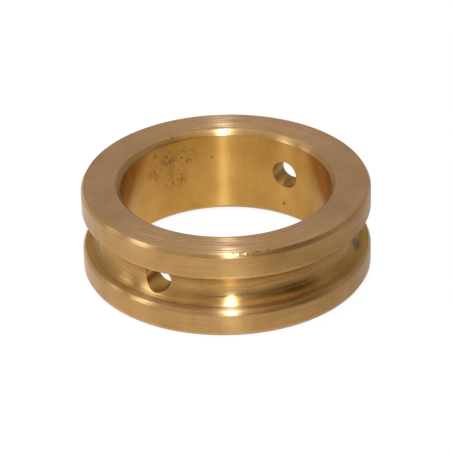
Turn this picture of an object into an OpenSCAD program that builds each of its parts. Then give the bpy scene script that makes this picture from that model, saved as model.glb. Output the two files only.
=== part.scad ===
// Grooved bronze bushing: one turned ring with a round-bottomed oil groove and a cross-drilled oil hole.
// The bore runs along Z, and the ring stands on its lower end face at z = 0. Millimetres.

/* [Ring] */
// Outside diameter, across the two lands that press into the housing
outer_diameter = 55; // [51:0.5:70]
// Bore diameter, the running surface for the shaft
bore_diameter = 40; // [30:0.5:43]
// Length between the two end faces
ring_length = 17.5; // [14:0.5:40]

/* [Edges] */
// Length of each chamfer on the outside, measured along the axis
outer_chamfer_length = 0.8; // [0.4:0.1:1.4]
// Angle of each chamfer on the outside, measured from the axis
outer_chamfer_angle = 30; // [15:5:45]
// Size of the 45 degree chamfer at each end of the bore
bore_chamfer = 0.9; // [0.3:0.1:1.5]

/* [Oil groove] */
// Width of the groove between its walls
groove_width = 6.8; // [4:0.2:8]
// Depth of the groove, from the lands to its floor
groove_depth = 3.75; // [2:0.05:5]
// Radius of the groove's round floor, which meets the walls at an angle
groove_radius = 4.2; // [3:0.1:8]
// Distance of the groove's middle below the ring's mid length
groove_shift = 0.15; // [0:0.05:0.3]

/* [Oil holes] */
// Diameter of the drill that makes both oil holes in one pass
hole_diameter = 5.5; // [2:0.5:5.5]
// Distance by which the drilled line passes beside the ring's axis
hole_offset = 0.5; // [0:0.1:1]
// Height of the drilled line above the groove's middle, at the axis
hole_rise = 0.5; // [0:0.05:0.6]
// Angle by which the drilled line climbs towards the back
hole_slope = 1.3; // [0:0.1:1.5]

/* [Hidden] */
$fn = 180;
// Radii of the two cylinders
outer_radius = outer_diameter / 2;
bore_radius = bore_diameter / 2;
// Radial size of an outside chamfer, and the radius at which it ends
outer_chamfer_depth = outer_chamfer_length * tan(outer_chamfer_angle);
lip_radius = outer_radius - outer_chamfer_depth;
// The groove's floor: the arc's radius, where it is deepest, and the radius on which its centre lies
arc = max(groove_radius, groove_width / 2);
floor_radius = outer_radius - groove_depth;
arc_centre_radius = floor_radius + arc;
// Radius at which the arc meets the walls
wall_foot = arc_centre_radius - sqrt(pow(arc, 2) - pow(groove_width / 2, 2));
// Half the groove's width at its lips: a shallow groove ends on its arc, before its full width
lip_half = wall_foot < lip_radius
    ? groove_width / 2
    : sqrt(pow(arc, 2) - pow(arc_centre_radius - lip_radius, 2));
// Height of the groove's middle
middle = ring_length / 2 - groove_shift;
// How far a cutting tool reaches past the metal
past = 1;

// One half of the ring's section before the groove, from the bore out to the lands
module blank_section() {
    polygon([
        [bore_radius + bore_chamfer, 0],
        [lip_radius, 0],
        [outer_radius, outer_chamfer_length],
        [outer_radius, ring_length - outer_chamfer_length],
        [lip_radius, ring_length],
        [bore_radius + bore_chamfer, ring_length],
        [bore_radius, ring_length - bore_chamfer],
        [bore_radius, bore_chamfer]
    ]);
}

// The tool's section, about its own middle: a round nose between two straight sides
module tool_section() {
    intersection() {
        translate([arc_centre_radius, 0])
            circle(r = arc);
        translate([floor_radius, -groove_width / 2])
            square([arc, groove_width]);
    }
    if (wall_foot < lip_radius)
        translate([wall_foot, -groove_width / 2])
            square([lip_radius - wall_foot, groove_width]);
}

// The mouth of the groove, about its own middle: chamfered lips carried on past the lands
module mouth_section() {
    lip_run = past * outer_chamfer_length / outer_chamfer_depth;
    land_half = lip_half + outer_chamfer_length;
    inner = (floor_radius + lip_radius) / 2;
    polygon([
        [inner, -lip_half / 2],
        [lip_radius, -lip_half],
        [outer_radius, -land_half],
        [outer_radius + past, -land_half - lip_run],
        [outer_radius + past, land_half + lip_run],
        [outer_radius, land_half],
        [lip_radius, lip_half],
        [inner, lip_half / 2]
    ]);
}

// The drill that passes through both walls near the groove's middle, along Y
module drill() {
    translate([hole_offset, 0, middle + hole_rise])
        rotate([hole_slope, 0, 0])
        rotate([90, 0, 0])
        cylinder(h = outer_diameter + 2 * past, d = hole_diameter, center = true);
}

// The ring itself, turned in one setting and then cross-drilled
module bushing() {
    color("#b8925a")
    difference() {
        rotate_extrude()
            difference() {
                blank_section();
                translate([0, middle]) {
                    tool_section();
                    mouth_section();
                }
            }
        drill();
    }
}

bushing();
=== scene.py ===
# %% [markdown]
# # A grooved bronze bushing
# The real object is one ring, turned on a lathe from bronze: two lands, a round-bottomed oil groove
# between them, a bore, and two oil holes drilled through in one pass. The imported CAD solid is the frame,
# and everything here is made around it, in metres. The CAD box is kept, so that the finished piece can be
# set against it.

# %% Load the frame
import math

import bmesh
import bpy
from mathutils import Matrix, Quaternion, Vector


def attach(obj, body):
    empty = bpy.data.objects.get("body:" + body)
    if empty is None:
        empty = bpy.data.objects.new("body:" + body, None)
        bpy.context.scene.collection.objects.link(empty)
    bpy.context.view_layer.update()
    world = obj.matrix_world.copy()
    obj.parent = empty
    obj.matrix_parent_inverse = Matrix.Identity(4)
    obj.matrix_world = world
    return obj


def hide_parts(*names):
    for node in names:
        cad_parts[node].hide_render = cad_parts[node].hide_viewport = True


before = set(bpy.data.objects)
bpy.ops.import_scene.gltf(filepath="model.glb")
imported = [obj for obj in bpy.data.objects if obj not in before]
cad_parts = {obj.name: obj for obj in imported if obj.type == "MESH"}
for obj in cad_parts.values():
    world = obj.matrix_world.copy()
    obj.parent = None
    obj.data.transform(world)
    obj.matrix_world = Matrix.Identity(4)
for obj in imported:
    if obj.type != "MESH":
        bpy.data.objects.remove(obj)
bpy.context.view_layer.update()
MM = 0.001

# %% [markdown]
# ## The camera
# The photograph's ellipses give the view: the camera looks down by about 30 degrees from some 570 mm away
# with a long lens, so the far edge is hardly smaller than the near one. It leans a little, which lifts the
# right side of the picture. A small shift places the ring in the frame.

# %% Place the camera
PICTURE_SIZE = 452
FOCAL_PIXELS = 2995
SHIFT_PIXELS = (-0.58, -4.82)
SENSOR_WIDTH = 36
ring_length = 17.5 * MM
middle = ring_length / 2
view_turn = math.radians(34.1)
view_height = math.radians(29.9)
view_lean = math.radians(-1.28)
view_distance = 571.7 * MM
aim = Vector((0, 0, middle))


def from_aim(turn, height, distance):
    """A point at this distance from the ring's middle. Turn 0 looks along +Y, and height is the angle
    above the horizon."""
    flat = math.cos(height) * distance
    return aim + Vector((math.sin(turn) * flat, -math.cos(turn) * flat, math.sin(height) * distance))


def facing(place):
    """The turn that points a camera or a lamp at place back to the ring's middle."""
    return (place - aim).to_track_quat("Z", "Y")


eye = from_aim(view_turn, view_height, view_distance)
bpy.ops.object.camera_add(location=eye)
camera = bpy.context.object
camera.rotation_mode = "QUATERNION"
camera.rotation_quaternion = facing(eye) @ Quaternion((0, 0, 1), view_lean)
camera.data.sensor_width = SENSOR_WIDTH
camera.data.lens = FOCAL_PIXELS * SENSOR_WIDTH / PICTURE_SIZE
camera.data.shift_x = SHIFT_PIXELS[0] / PICTURE_SIZE
camera.data.shift_y = SHIFT_PIXELS[1] / PICTURE_SIZE
bpy.context.scene.camera = camera
print("camera at", [round(x / MM, 1) for x in eye], "mm, lens", round(camera.data.lens, 1), "mm")

# %% [markdown]
# ## The ring's section
# On the lathe the shape comes from a section swept round an axis, so the mesh is made the same way. The
# groove was cut by a tool with a round nose and straight sides, so its floor is what is left of a circle
# primitive between the two walls. From its upper end, one vertex is extruded along the wall, the land, the
# end face and the bore, and back to the lower end. The CAD mesh has the same form, but its long thin
# triangles would show as flats in a polished groove.

# %% Start with the groove's round floor
outer_radius = 27.5 * MM
bore_radius = 20 * MM
chamfer_length = 0.8 * MM
chamfer_angle = math.radians(30)
chamfer_depth = chamfer_length * math.tan(chamfer_angle)
bore_chamfer = 0.9 * MM
groove_half = 3.4 * MM
groove_depth = 3.75 * MM
groove_arc = 4.2 * MM
groove_shift = 0.15 * MM
groove_middle = middle - groove_shift
ROUND_VERTICES = 96
NEAR = 1e-6
lip_radius = outer_radius - chamfer_depth
floor_radius = outer_radius - groove_depth
arc_centre = floor_radius + groove_arc
wall_foot = arc_centre - math.sqrt(groove_arc ** 2 - groove_half ** 2)


def choose(kind, passes):
    """In edit mode, selects only the vertices or faces whose middle passes the test, and counts them."""
    bpy.ops.mesh.select_mode(type=kind)
    bpy.ops.mesh.select_all(action="DESELECT")
    form = bmesh.from_edit_mesh(bpy.context.object.data)
    items = form.verts if kind == "VERT" else form.faces
    for item in items:
        spots = [item] if kind == "VERT" else item.verts
        centre = sum((v.co for v in spots), Vector()) / len(spots)
        item.select_set(passes(centre, item))
    form.select_flush_mode()
    bmesh.update_edit_mesh(bpy.context.object.data)
    return sum(item.select for item in items)


bpy.ops.object.select_all(action="DESELECT")
bpy.ops.mesh.primitive_circle_add(
    vertices=ROUND_VERTICES,
    radius=groove_arc,
    location=(arc_centre, 0, groove_middle),
    rotation=(math.pi / 2, 0, 0),
)
ring = bpy.context.object
ring.name = ring.data.name = "turned_ring"
bpy.ops.object.transform_apply(location=True, rotation=True, scale=True)
bpy.ops.object.mode_set(mode="EDIT")
choose("VERT", lambda c, v: c.x > wall_foot - NEAR)
bpy.ops.mesh.delete(type="VERT")
ring.update_from_editmode()
upper_end = max((v.co for v in ring.data.vertices), key=lambda co: co.z).copy()
lower_end = min((v.co for v in ring.data.vertices), key=lambda co: co.z).copy()
print("groove:", len(ring.data.vertices), "vertices, floor radius", round(floor_radius / MM, 2), "mm")

# %% [markdown]
# The rest of the section is a walk round its corners. Each extrude adds one straight edge, and a last edge
# joins the walk to the groove's lower end. Guard points close to the top edges will keep later damage to
# those edges from reaching across the faces beside them.

# %% Walk round the section
land_half = groove_half + chamfer_length
rim_radius = bore_radius + bore_chamfer
guard = 0.3 * MM
corners = [
    (wall_foot, groove_middle + groove_half),
    (lip_radius, groove_middle + groove_half),
    (outer_radius, groove_middle + land_half),
    (outer_radius, ring_length - chamfer_length),
    (lip_radius + chamfer_depth / 4, ring_length - chamfer_length / 4),
    (lip_radius, ring_length),
    (lip_radius - guard, ring_length),
    (rim_radius + guard, ring_length),
    (rim_radius, ring_length),
    (bore_radius, ring_length - bore_chamfer),
    (bore_radius, bore_chamfer),
    (rim_radius, 0),
    (lip_radius, 0),
    (outer_radius, chamfer_length),
    (outer_radius, groove_middle - land_half),
    (lip_radius, groove_middle - groove_half),
    (wall_foot, groove_middle - groove_half),
]
choose("VERT", lambda c, v: (c - upper_end).length < NEAR)
last = upper_end
for radius, height in corners:
    corner = Vector((radius, 0, height))
    bpy.ops.mesh.extrude_vertices_move(TRANSFORM_OT_translate={"value": corner - last})
    last = corner
choose("VERT", lambda c, v: (c - last).length < NEAR or (c - lower_end).length < NEAR)
bpy.ops.mesh.edge_face_add()
bpy.ops.object.mode_set(mode="OBJECT")
print("section:", len(ring.data.vertices), "vertices,", len(ring.data.edges), "edges")

# %% [markdown]
# ## Turning it
# Spin sweeps the section once round the Z axis. The first and last copies lie on each other, so doubles are
# merged, and then the normals are made to point outwards. A cut edge is never quite sharp: a bevel of less
# than a tenth of a millimetre on each corner loop gives it the thin bright line that the eye expects.

# %% Spin the section and break its edges
TURN_STEPS = 640
CORNER_ANGLE = math.radians(20)
edge_break = 0.07 * MM
bpy.ops.object.mode_set(mode="EDIT")
bpy.ops.mesh.select_all(action="SELECT")
bpy.ops.mesh.spin(steps=TURN_STEPS, angle=2 * math.pi, center=(0, 0, 0), axis=(0, 0, 1))
bpy.ops.mesh.select_all(action="SELECT")
bpy.ops.mesh.remove_doubles(threshold=NEAR)
bpy.ops.mesh.normals_make_consistent(inside=False)
bpy.ops.mesh.select_mode(type="EDGE")
bpy.ops.mesh.select_all(action="DESELECT")
bpy.ops.mesh.edges_select_sharp(sharpness=CORNER_ANGLE)
bpy.ops.mesh.bevel(offset=edge_break, segments=2, affect="EDGES")
bpy.ops.object.mode_set(mode="OBJECT")
print("turned:", len(ring.data.polygons), "faces")

# %% [markdown]
# The top edge was knocked about a little: a row of small burrs where the face meets the outer chamfer, and
# one nick on the bore's rim. Their vertices are moved at random by about a tenth of a millimetre, with a
# fixed seed, so that each run gives the same burrs.

# %% Knock the top edge
burr_size = 0.07 * MM
burr_from, burr_to = math.radians(-54), math.radians(-39)
nick_size = 0.12 * MM
nick_reach = 0.8 * guard
nick_angle = math.radians(153.8)
nick_place = Vector((rim_radius * math.cos(nick_angle), rim_radius * math.sin(nick_angle), ring_length))


def on_burrs(c, v):
    """Whether a vertex lies on the knocked stretch of the outer top edge."""
    in_stretch = burr_from < math.atan2(c.y, c.x) < burr_to
    return in_stretch and c.z > ring_length - guard / 2 and math.hypot(c.x, c.y) > lip_radius - guard / 2


bpy.ops.object.mode_set(mode="EDIT")
burrs = choose("VERT", on_burrs)
bpy.ops.transform.vertex_random(offset=burr_size, uniform=1.0, seed=3)
nicks = choose("VERT", lambda c, v: (c - nick_place).length < nick_reach)
bpy.ops.transform.vertex_random(offset=nick_size, uniform=1.0, seed=5)
bpy.ops.object.mode_set(mode="OBJECT")
print("knocked:", burrs, "vertices of burrs and", nicks, "of a nick")

# %% [markdown]
# ## Drilling the oil holes
# One drill went through both walls, by hand: half a millimetre beside the axis and climbing a little, so the
# back hole sits higher in the bore than the front one in the groove. A cylinder stands for the drill, and a
# Boolean modifier takes it out of the ring.

# %% Drill both walls
hole_radius = 2.75 * MM
hole_offset = 0.5 * MM
hole_rise = 0.35 * MM
hole_slope = math.radians(1.3)
drill_length = 62 * MM
drill_point = Vector((hole_offset, 0, middle + hole_rise))
drill_turn = (math.pi / 2 + hole_slope, 0, 0)
drill_way = Vector((0, math.cos(hole_slope), math.sin(hole_slope)))
bpy.ops.object.select_all(action="DESELECT")
bpy.ops.mesh.primitive_cylinder_add(
    vertices=ROUND_VERTICES,
    radius=hole_radius,
    depth=drill_length,
    location=drill_point,
    rotation=drill_turn,
)
drill = bpy.context.object
bpy.ops.object.transform_apply(location=True, rotation=True, scale=True)
bpy.context.view_layer.objects.active = ring
cut = ring.modifiers.new("oil_holes", "BOOLEAN")
cut.operation = "DIFFERENCE"
cut.solver = "EXACT"
cut.object = drill
bpy.ops.object.modifier_apply(modifier=cut.name)
bpy.data.objects.remove(drill)
ring.select_set(True)
print("drilled:", len(ring.data.polygons), "faces")

# %% [markdown]
# Smooth shading with sharp edges above a limit keeps the groove round and the faces flat. Weighted normals
# then let each wide face keep its own direction, so that the small bevels don't bend the reflections in it.

# %% Smooth the shading
SMOOTH_LIMIT = math.radians(32)
bpy.ops.object.shade_smooth_by_angle(angle=SMOOTH_LIMIT)
weigh = ring.modifiers.new("face_weighted", "WEIGHTED_NORMAL")
weigh.keep_sharp = True
bpy.ops.object.modifier_apply(modifier=weigh.name)
print("finished mesh:", sum(len(p.vertices) - 2 for p in ring.data.polygons), "triangles")

# %% [markdown]
# ## Bronze, cut in several ways
# All surfaces are one metal, a tin bronze, but each was cut by its own tool, and that is what the eye tells
# apart. A turning tool leaves fine rings around the axis. Light spreads widely across them and little along
# them, so a lamp shows as a streak across the rings. Anisotropy gives that, with the Tangent node's radial
# direction running round the axis. Rings that are coarse enough to see are bump.
#
# A material is a tree of nodes. One small function adds a node, and a few more are built on it for the kinds
# that come up again and again.

# %% Colour and node helpers
MEASURES = ("LENGTH", "DISTANCE", "DOT_PRODUCT")


def linear(hex_colour):
    """An sRGB hex colour as linear red, green, blue and alpha."""
    parts = [int(hex_colour[i:i + 2], 16) / 255 for i in (1, 3, 5)]
    return [p / 12.92 if p <= 0.04045 else ((p + 0.055) / 1.055) ** 2.4 for p in parts] + [1]


def add(tree, kind, settings=None, inputs=None):
    """Adds a node with its settings by name. Each input is a plain value or another node's output."""
    node = tree.nodes.new(kind)
    for name, value in (settings or {}).items():
        setattr(node, name, value)
    for socket, value in (inputs or {}).items():
        if isinstance(value, bpy.types.NodeSocket):
            tree.links.new(value, node.inputs[socket])
        else:
            node.inputs[socket].default_value = value
    return node


def maths(tree, operation, *terms, clamp=False):
    """The result of a Math node. Its terms are two or three numbers or outputs."""
    settings = {"operation": operation, "use_clamp": clamp}
    return add(tree, "ShaderNodeMath", settings, dict(enumerate(terms))).outputs[0]


def vectors(tree, operation, *terms):
    """The result of a Vector Math node: a vector, or a number for a length, distance or dot product."""
    node = add(tree, "ShaderNodeVectorMath", {"operation": operation}, dict(enumerate(terms)))
    return node.outputs["Value" if operation in MEASURES else "Vector"]


def ramp(tree, value, low, high, at_low, at_high, smooth=True):
    """Goes from at_low to at_high while the value goes from low to high, and stays level outside."""
    return add(
        tree, "ShaderNodeMapRange", {"interpolation_type": "SMOOTHSTEP" if smooth else "LINEAR"},
        {"Value": value, "From Min": low, "From Max": high, "To Min": at_low, "To Max": at_high},
    ).outputs[0]


def mixed(tree, factor, first, second):
    """The first colour at factor 0 and the second at factor 1."""
    return add(tree, "ShaderNodeMix", {"data_type": "RGBA"}, {0: factor, 6: first, 7: second}).outputs[2]


def noise(tree, place, size, detail, roughness, output="Fac"):
    """Cloudy noise with blots of this size."""
    return add(
        tree, "ShaderNodeTexNoise", {"noise_dimensions": "3D"},
        {"Vector": place, "Scale": 1 / size, "Detail": detail, "Roughness": roughness},
    ).outputs[output]


print("mid grey #808080 in linear light:", round(linear("#808080")[0], 3))

# %% [markdown]
# ## Dirt
# The bushing has been handled: oil has dried in smudges on the bore, and there are a few dark dots and pits.
# A dot is the distance from its centre, at places that noise has made ragged. A smudge is fine specks on a
# faint smear, both from the dark parts of a noise, kept only inside a few soft patches.

# %% Dots and smudges
DIRT = linear("#4E3616")
# The specks and the smear: the size of the noise in mm, where its dark parts begin and end, and how dark
SPECKS = (0.5, 0.56, 0.66, 1.0)
SMEAR = (2.0, 0.42, 0.64, 0.45)
# The part of a dot's size that is fully dark
DARK_PART = 0.2


def around_axis(angle, radius, height):
    """A point in metres, from an angle in degrees, a radius and a height in mm."""
    turn = math.radians(angle)
    return Vector((math.cos(turn) * radius, math.sin(turn) * radius, height)) * MM


def nearness(tree, spot, dots):
    """How dirty each place is, from 0. A dot is a point by around_axis, its size in mm and its strength."""
    dirt = 0.0
    for angle, radius, height, size, strength in dots:
        gap = vectors(tree, "DISTANCE", spot, around_axis(angle, radius, height))
        near = ramp(tree, gap, DARK_PART * size * MM, size * MM, strength, 0.0)
        dirt = maths(tree, "MAXIMUM", dirt, near)
    return dirt


def smudges(tree, place, spot, patches):
    """Dried oil in soft patches, which are given like dots."""
    layers = []
    for size, low, high, most in (SPECKS, SMEAR):
        blots = noise(tree, place, size * MM, 1.0, 0.5)
        layers.append(ramp(tree, blots, low, high, 0.0, most))
    both = maths(tree, "MAXIMUM", *layers)
    return maths(tree, "MULTIPLY", both, nearness(tree, spot, patches))


def soiled(tree, place, tone, dots, patches):
    """The metal's colour with its dots and smudges, at places that noise makes ragged by about 0.3 mm."""
    wander = noise(tree, place, 1.3 * MM, 3.0, 0.5, "Color")
    off = vectors(tree, "SUBTRACT", wander, (0.5, 0.5, 0.5))
    spot = vectors(tree, "MULTIPLY_ADD", off, (MM, MM, MM), place)
    if dots:
        tone = mixed(tree, nearness(tree, spot, dots), tone, DIRT)
    if patches:
        tone = mixed(tree, smudges(tree, place, spot, patches), tone, DIRT)
    return tone


print("dirt in linear light:", [round(x, 3) for x in DIRT[:3]])

# %% [markdown]
# ## What a tool leaves
# Every pattern is drawn from the tool's own axis. Noise that is stretched round the axis gives the feed
# marks, which come and go on their way round. Noise that is stretched across them gives chatter, the faint
# upright lines that a trembling tool leaves.

# %% Marks around a tool's axis
# Where each tool turned: a point on its axis, the turn from the Z axis, and the Tangent node's name for it
LATHE = ((0, 0, 0), (0, 0, 0), "Z")
DRILL = (drill_point, drill_turn, "Y")
# Blots of noise to a radian: feed marks come and go over some 8 mm, and a line of chatter is 0.5 mm wide
MARK_BEAT = 3
CHATTER_BEAT = outer_radius / (0.5 * MM)
chatter_length = 4 * MM
CHATTER_SHARE = 0.7
cloud_size = 6 * MM


def tool_space(tree, place, tool, rings_by):
    """The direction from the tool's axis to each place, and the height or radius that spaces the rings."""
    point, turn, _ = tool
    local = add(
        tree, "ShaderNodeMapping", {"vector_type": "TEXTURE"},
        {"Vector": place, "Location": point, "Rotation": turn},
    )
    parts = add(tree, "ShaderNodeSeparateXYZ", None, {0: local.outputs[0]}).outputs
    flat = add(tree, "ShaderNodeCombineXYZ", None, {0: parts["X"], 1: parts["Y"]}).outputs[0]
    height = parts["Z"] if rings_by == "Z" else vectors(tree, "LENGTH", flat)
    return vectors(tree, "NORMALIZE", flat), height


def drawn_out(tree, around, beat, rows):
    """Noise with this many blots to a radian round the axis, and with one blot to a row."""
    lift = add(tree, "ShaderNodeCombineXYZ", None, {2: rows}).outputs[0]
    trail = vectors(tree, "MULTIPLY_ADD", around, (beat, beat, beat), lift)
    return noise(tree, trail, 1.0, 2.0, 0.6)


def tarnished(tree, place, around, height, colour, shade):
    """The metal's colour, which goes over to the shade in cloudy tarnish and in the lines of the chatter."""
    clouds = noise(tree, place, cloud_size, 4.0, 0.55)
    tarnish = ramp(tree, clouds, 0.35, 0.7, -0.3, 0.7, smooth=False)
    rows = maths(tree, "MULTIPLY", height, 1 / chatter_length)
    chatter = drawn_out(tree, around, CHATTER_BEAT, rows)
    blend = maths(tree, "MULTIPLY_ADD", chatter, CHATTER_SHARE, tarnish, clamp=True)
    return mixed(tree, blend, linear(colour), linear(shade))


print("chatter: about", round(CHATTER_BEAT * 2 * math.pi), "lines to a turn")

# %% [markdown]
# The metal itself is a Principled shader. Its facets tilt further across the rings than along them, and two
# numbers for that give its roughness and its anisotropy. The seven finishes differ in those numbers, in the
# rings and in how far the bronze has tarnished.

# %% One bronze for each tool
# Cycles squares the roughness, and its anisotropy is 1 for facets that tilt 10 times as far one way
FULL_STREAK = 0.9
# A quarter turn from the tangent, so that light spreads across the rings
STREAK_TURN = 0.25
# A ridge is up to 0.5 high and the noise on it about 0.5, so this brings their product back to the depth
RIDGE_GAIN = 4


def bronze(
    name, colour, shade, tool, along, across, rings_by, pitch, depth, uneven,
    dots=(), patches=(), edge="#FFFFFF",
):
    """Bronze cut by one tool. along and across are how far facets tilt along and across the tool's rings,
    rings_by is "Z" or "R", the way that the rings are spaced, pitch and depth are their size in metres,
    uneven is how much roughness changes from ring to ring, dots and patches are where the dirt is, and edge
    is the tint of what a flat angle mirrors."""
    material = bpy.data.materials.new(name)
    material.use_nodes = True
    tree = material.node_tree
    tree.nodes.clear()
    place = add(tree, "ShaderNodeTexCoord").outputs["Object"]
    around, height = tool_space(tree, place, tool, rings_by)
    # Feed marks: one ridge for each turn, which noise makes higher and lower on its way round
    rows = maths(tree, "MULTIPLY", height, 1 / pitch)
    marks = drawn_out(tree, around, MARK_BEAT, rows)
    ridge = maths(tree, "PINGPONG", rows, 0.5)
    worn = maths(tree, "MULTIPLY", ridge, marks)
    relief = maths(tree, "MULTIPLY", worn, RIDGE_GAIN * depth)
    bump = add(tree, "ShaderNodeBump", None, {"Strength": 1.0, "Distance": 1.0, "Height": relief})
    tone = tarnished(tree, place, around, height, colour, shade)
    tone = soiled(tree, place, tone, dots, patches)
    rough = (along * across) ** 0.25
    streak = (1 - along / across) / FULL_STREAK
    wear = ramp(tree, marks, 0.3, 0.7, rough * (1 - uneven), rough * (1 + uneven), smooth=False)
    round_axis = add(tree, "ShaderNodeTangent", {"direction_type": "RADIAL", "axis": tool[2]})
    finish = add(tree, "ShaderNodeBsdfPrincipled", None, {
        "Metallic": 1.0,
        "Base Color": tone,
        "Roughness": wear,
        "Specular Tint": linear(edge),
        "Anisotropic": streak,
        "Anisotropic Rotation": STREAK_TURN,
        "Tangent": round_axis.outputs[0],
        "Normal": bump.outputs[0],
    })
    add(tree, "ShaderNodeOutputMaterial", None, {"Surface": finish.outputs[0]})
    print(name, "roughness", round(rough, 3), "anisotropy", round(streak, 3), "nodes", len(tree.nodes))
    return material


# Dots and patches of dirt: an angle in degrees, a radius, a height and a size in mm, and a strength
bore_dots = [
    (89.5, 20, 3.1, 0.5, 0.85),
    (79.5, 20, 0.8, 0.45, 0.8),
    (166.7, 20, 15.2, 0.5, 0.75),
    (131.5, 20, 11.8, 0.4, 0.7),
]
bore_patches = [
    (158, 20, 12.6, 3.4, 0.8),
    (147, 20, 13.2, 3.2, 0.8),
    (168, 20, 11.2, 2.4, 0.65),
    (153, 20, 8.6, 3.6, 0.65),
]
groove_dots = [(-145, 24.9, 5.9, 0.5, 0.8), (24, 25, 5.9, 3.0, 0.6)]
cuts = {
    # The ends: a pale sheen with thin bright rings. The real ones are 0.84 mm apart and drawn a bit coarser
    "faced_bronze": (
        "#D4A675", "#C89A69", LATHE, 0.018, 0.18, "R", 0.95 * MM, 0.045 * MM, 0.25,
    ),
    # The lands: an even satin that takes its brightness from the white paper
    "turned_bronze": (
        "#C0945C", "#B0844C", LATHE, 0.035, 0.25, "Z", 0.4 * MM, 0.003 * MM, 0.2,
    ),
    # The chamfers: narrow bands that catch the lamps as short bright glints
    "chamfered_bronze": (
        "#CA9E66", "#BE925A", LATHE, 0.034, 0.27, "Z", 0.12 * MM, 0.001 * MM, 0.4,
    ),
    # The groove's floor: bands of light and dark that bend round it, since the form tool left it smooth
    "form_cut_bronze": (
        "#C29658", "#B4884A", LATHE, 0.033, 0.22, "Z", 0.35 * MM, 0.003 * MM, 0.35, groove_dots,
    ),
    # The groove's walls: a dull band with a wide soft streak, because the tool's sides rubbed as they cut
    "side_cut_bronze": (
        "#DCB47A", "#D0A86E", LATHE, 0.04, 0.4, "R", 0.3 * MM, 0.003 * MM, 0.3, (), (), "#B08848",
    ),
    # The bore: deep yellow and nearly without lines, with one soft upright streak
    "bored_bronze": (
        "#D2A154", "#C29144", LATHE, 0.03, 0.3, "Z", 0.4 * MM, 0.0003 * MM, 0.06, bore_dots, bore_patches,
    ),
    # The oil holes: a rougher wall with rings round the drill's own axis
    "drilled_bronze": (
        "#D0A464", "#BC9050", DRILL, 0.05, 0.3, "Z", 0.4 * MM, 0.006 * MM, 0.2,
    ),
}
finishes = {name: bronze(name, *values) for name, values in cuts.items()}
for material in finishes.values():
    ring.data.materials.append(material)

# %% [markdown]
# Each finish goes to the faces that its tool cut. A face is told by its middle's radius and height, by its
# normal, and for the oil holes by its distance from the drilled line. The chamfer under the upper land was
# cut with the groove's walls.

# %% Give each surface its finish
touch = 0.12 * MM
STRAIGHT = 0.95
LEANING = 0.3


def cut_by(c, n):
    """The name of the finish on a face with this middle and normal."""
    radius = math.hypot(c.x, c.y)
    outward = (n.x * c.x + n.y * c.y) / radius
    from_drill = (c - drill_point).cross(drill_way).length
    if abs(from_drill - hole_radius) < touch and abs(n.y) < LEANING and abs(c.x) < 2 * hole_radius:
        return "drilled_bronze"
    if abs(n.z) > STRAIGHT and (c.z < touch or c.z > ring_length - touch):
        return "faced_bronze"
    if outward < -STRAIGHT:
        return "bored_bronze"
    if radius > outer_radius - touch / 4:
        return "turned_bronze"
    upper_lip = n.z < -LEANING and outward > 0 and c.z > middle and radius > lip_radius - touch
    if abs(n.z) > STRAIGHT or upper_lip:
        return "side_cut_bronze"
    if radius < rim_radius or radius > lip_radius + touch / 4:
        return "chamfered_bronze"
    return "form_cut_bronze"


bpy.ops.object.mode_set(mode="EDIT")
for index, name in enumerate(finishes):
    count = choose("FACE", lambda c, face: cut_by(c, face.normal) == name)
    ring.active_material_index = index
    bpy.ops.object.material_slot_assign()
    print(name, "on", count, "faces")
bpy.ops.mesh.select_all(action="DESELECT")
bpy.ops.object.mode_set(mode="OBJECT")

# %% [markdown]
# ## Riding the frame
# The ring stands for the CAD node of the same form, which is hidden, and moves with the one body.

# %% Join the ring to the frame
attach(ring, "root")
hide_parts("bushing")
print(ring.name, "rides root, replaces bushing and is bronze")

# %% [markdown]
# ## The stage
# The photograph was taken on white. A metal shows what is around it, so the stage matters as much as the
# finish: the lands mirror the white floor, and the groove mirrors a dim room above the horizon.
#
# The paper is white by its colour. To the camera and in what the metal mirrors it is mostly a plain glow, so
# it stays white without more light on the ring, and the rest of it still takes the ring's shadow. In what
# the metal mirrors, that glow is painted darker towards the right: a painted shade standing in for the paper
# getting less light on the right, although the picture is burnt out to white there.

# %% Lay the floor
FLOOR_RADIUS = 0.4
GLOW_SHARE = 0.85
# Painted shade: how much the mirrored glow is dimmed on the right, and over what distance
PAINTED_SHADE_ON_RIGHT = 0.42
fall_from, fall_to = -5 * MM, 32 * MM
rightward = view_turn + math.radians(100)
right_way = (math.sin(rightward), -math.cos(rightward), 0)
SHEEN = (0.05, 0.05, 0.05, 1)
bpy.ops.object.select_all(action="DESELECT")
bpy.ops.mesh.primitive_circle_add(
    vertices=ROUND_VERTICES, radius=FLOOR_RADIUS, fill_type="NGON", location=(0, 0, 0)
)
floor = bpy.context.object
floor.name = floor.data.name = "white_floor"
paper = bpy.data.materials.new("white_paper")
paper.use_nodes = True
tree = paper.node_tree
tree.nodes.clear()
sheet = add(tree, "ShaderNodeBsdfDiffuse", None, {"Color": linear("#F0F0F0")})
ray = add(tree, "ShaderNodeLightPath").outputs
spot = add(tree, "ShaderNodeTexCoord").outputs["Object"]
to_right = vectors(tree, "DOT_PRODUCT", spot, right_way)
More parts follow.
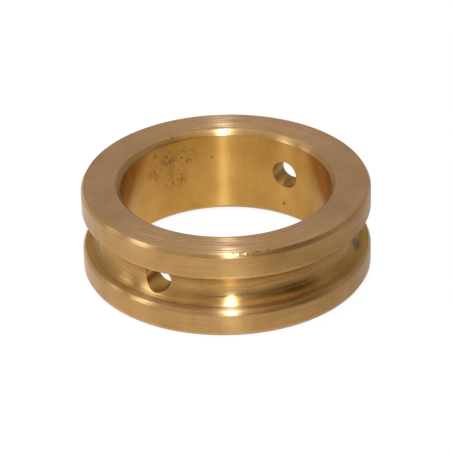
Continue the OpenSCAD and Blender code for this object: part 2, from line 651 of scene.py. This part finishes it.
# Painted shade: only in what the metal mirrors, the glow fades towards the right in place of the paper's
# shade there
fall = ramp(tree, to_right, fall_from, fall_to, 0.0, PAINTED_SHADE_ON_RIGHT)
painted_shade = maths(tree, "MULTIPLY", fall, ray["Is Glossy Ray"])
kept = maths(tree, "SUBTRACT", 1.0, painted_shade)
glow = add(tree, "ShaderNodeEmission", None, {"Strength": kept})
mirrored = maths(tree, "ADD", ray["Is Glossy Ray"], ray["Is Transmission Ray"])
seen = maths(tree, "ADD", ray["Is Camera Ray"], mirrored, clamp=True)
share = maths(tree, "MULTIPLY", seen, GLOW_SHARE)
blend = add(tree, "ShaderNodeMixShader", None, {0: share, 1: sheet.outputs[0], 2: glow.outputs[0]})
sheen = add(tree, "ShaderNodeBsdfGlossy", None, {"Color": SHEEN, "Roughness": 0.3})
coated = add(tree, "ShaderNodeAddShader", None, {0: blend.outputs[0], 1: sheen.outputs[0]})
add(tree, "ShaderNodeOutputMaterial", None, {"Surface": coated.outputs[0]})
floor.data.materials.append(paper)
print("floor:", round(2 * FLOOR_RADIUS / MM), "mm across")

# %% [markdown]
# Three soft lamps make the bright streaks. A long narrow strip above the camera draws the upright streak in
# the bore and the groove, and two low lamps on the left light the chamfers there. They are cooler than the
# paper, so that the streaks look white on the yellow metal.

# %% Set the lamps
DAYLIGHT = (0.58, 0.72, 1.0)


def lamp(name, turn, height, distance, width, tall, radiance):
    """A soft area lamp that faces the ring, with its size in metres. turn, in degrees, is to the right of
    the camera."""
    place = from_aim(view_turn + math.radians(turn), math.radians(height), distance)
    bpy.ops.object.light_add(type="AREA", location=place)
    light = bpy.context.object
    light.name = light.data.name = name
    light.data.shape = "RECTANGLE"
    light.data.size = width
    light.data.size_y = tall
    light.data.energy = math.pi * width * tall * radiance
    light.data.color = DAYLIGHT
    light.rotation_mode = "QUATERNION"
    light.rotation_quaternion = facing(place)
    print(name, "of", round(light.data.energy, 2), "W")


lamp("strip_lamp", 2.6, 62.5, 0.75, 0.045, 1.03, 46)
lamp("left_lamp", -71, 29, 0.6, 0.15, 0.3, 4.6)
lamp("far_left_lamp", -97, 22, 0.6, 0.12, 0.24, 1.7)

# %% [markdown]
# A dim room fills in the rest. Its walls are lighter on the left, it is darker behind the camera and lighter
# overhead. On the right it has a dark corner and, above that, a warm glow, which the groove shows as a dark
# band beside a warm one. Each part but the walls is a soft disc, with its edge given by the cosine of the
# angle from its middle.

# %% Fill the room
CEILING = 0.4
WALL_DIM, WALL_LIT = 0.36, 0.6
BEHIND_CAMERA = 0.68
CORNER = 0.06
WARM_GLOW = 0.5
WHITE = (1, 1, 1, 1)
CORNER_TINT = (1, 0.75, 0.45, 1)
GLOW_TINT = (1, 0.7, 0.4, 1)
world = bpy.data.worlds.new("dim_room")
bpy.context.scene.world = world
world.use_nodes = True
tree = world.node_tree
tree.nodes.clear()
way = add(tree, "ShaderNodeTexCoord").outputs["Generated"]


def toward(turn, height):
    """How far each direction of the room points this way from the ring. turn is to the camera's right."""
    target = from_aim(view_turn + math.radians(turn), math.radians(height), 1)
    return vectors(tree, "DOT_PRODUCT", way, (target - aim).normalized())


upward = add(tree, "ShaderNodeSeparateXYZ", None, {0: way}).outputs["Z"]
ceiling = ramp(tree, upward, 0.58, 0.84, 0.0, CEILING)
walls = ramp(tree, toward(-95, 0), -1.0, 1.0, WALL_DIM, WALL_LIT, smooth=False)
behind_camera = ramp(tree, toward(5, 27), 0.8, 0.97, 1.0, BEHIND_CAMERA)
lit = maths(tree, "ADD", ceiling, maths(tree, "MULTIPLY", walls, behind_camera))
corner = ramp(tree, toward(54, 28), 0.82, 0.96, 0.0, 1.0)
shaded = ramp(tree, corner, 0.0, 1.0, lit, CORNER, smooth=False)
glow = ramp(tree, toward(48, 62), 0.93, 0.985, 0.0, WARM_GLOW)
level = maths(tree, "ADD", shaded, glow)
tint = mixed(tree, corner, WHITE, CORNER_TINT)
warmth = mixed(tree, glow, tint, GLOW_TINT)
room = add(tree, "ShaderNodeBackground", None, {"Color": warmth, "Strength": level})
add(tree, "ShaderNodeOutputWorld", None, {"Surface": room.outputs[0]})
bpy.context.scene.view_settings.view_transform = "Standard"
print("room:", len(tree.nodes), "nodes")
